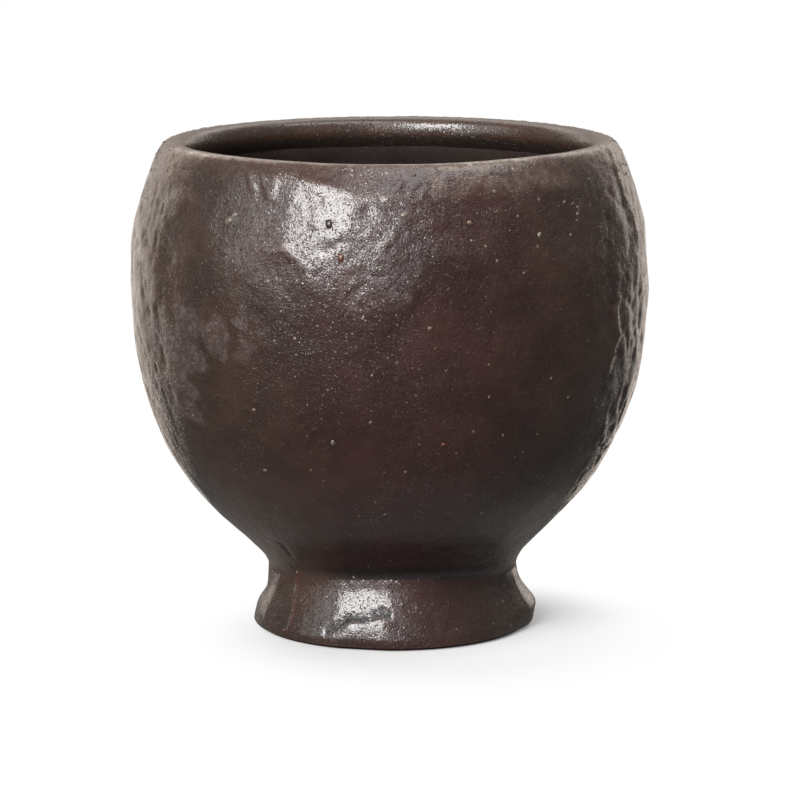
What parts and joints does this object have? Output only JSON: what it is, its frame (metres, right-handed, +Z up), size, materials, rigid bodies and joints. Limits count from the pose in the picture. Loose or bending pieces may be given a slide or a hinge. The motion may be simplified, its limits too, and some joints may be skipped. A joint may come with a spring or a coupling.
{
  "type": "coffee cup",
  "caption": "Small handle-less coffee cup in hand-formed stoneware: round bowl drawn in at the lip, narrow waist and flared foot ring, dark brown glaze with bare clay under the foot.",
  "frame": {"origin": "centre of the cup's axis on the plane that the foot stands on", "axes": "+Z up along the cup's axis, -Y towards the front, with the foot's seam at the front left"},
  "size_m": [0.085, 0.085, 0.0806],
  "materials": {
    "outer_glaze": "satin",
    "liner_glaze": "satin",
    "stoneware": "matte",
    "slip": "matte"
  },
  "bodies": {
    "root": {"bowl_wall": "stoneware", "rim_coil": "stoneware", "foot_ring": "stoneware", "foot_seam_slip": "slip", "waist_fillet": "stoneware", "joint_slip": "slip", "outer_glaze": "outer_glaze", "liner_glaze": "liner_glaze"}
  },
  "joints": []
}
